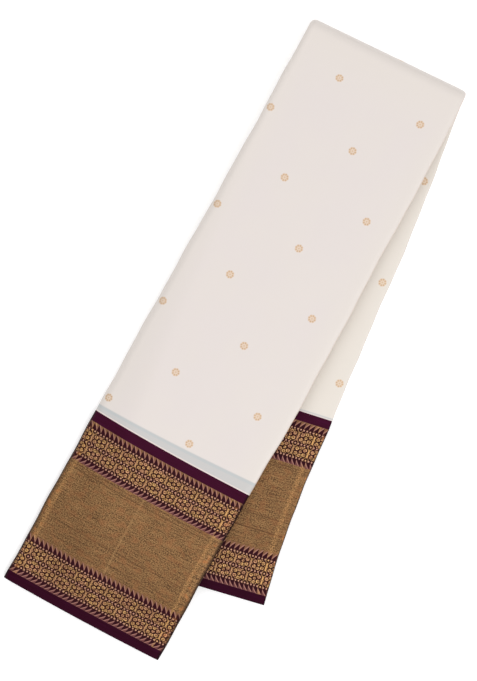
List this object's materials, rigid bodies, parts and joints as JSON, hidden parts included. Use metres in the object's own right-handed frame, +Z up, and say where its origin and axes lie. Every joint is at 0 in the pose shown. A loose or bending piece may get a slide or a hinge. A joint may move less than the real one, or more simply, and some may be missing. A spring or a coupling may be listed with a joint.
{
  "type": "folded silk sari",
  "caption": "White silk sari with small gold flowers and wide maroon and gold woven borders, folded to a strip and in half, lying flat with its two legs fanned out.",
  "frame": {"origin": "the middle of the sari's box, on the surface it lies on", "axes": "+Y along the upper leg to the top fold, +X to the side where the lower leg fans out, +Z up"},
  "size_m": [0.2416, 0.6476, 0.0246],
  "materials": {
    "white_silk": "warm white silk with a soft sheen and small gold woven flowers",
    "maroon_silk": "plain deep maroon silk",
    "flower_brocade": "maroon silk with a bronze gold zari pattern of flowers and teeth",
    "gold_tissue": "bronze gold zari tissue with fine cross lines and a metallic sheen",
    "hidden_layers": "the hidden layers of the folded cloth, seen only at its edges"
  },
  "bodies": {
    "root": {"inner_layers": "hidden_layers", "top_fold": "white_silk", "upper_body": "white_silk", "upper_inner_maroon": "maroon_silk", "upper_inner_flower_band": "flower_brocade", "upper_gold_tissue": "gold_tissue", "upper_outer_flower_band": "flower_brocade", "upper_selvedge": "maroon_silk", "lower_body": "white_silk", "lower_inner_maroon": "maroon_silk", "lower_inner_flower_band": "flower_brocade", "lower_gold_tissue": "gold_tissue", "lower_outer_flower_band": "flower_brocade", "lower_selvedge": "maroon_silk"}
  },
  "joints": []
}
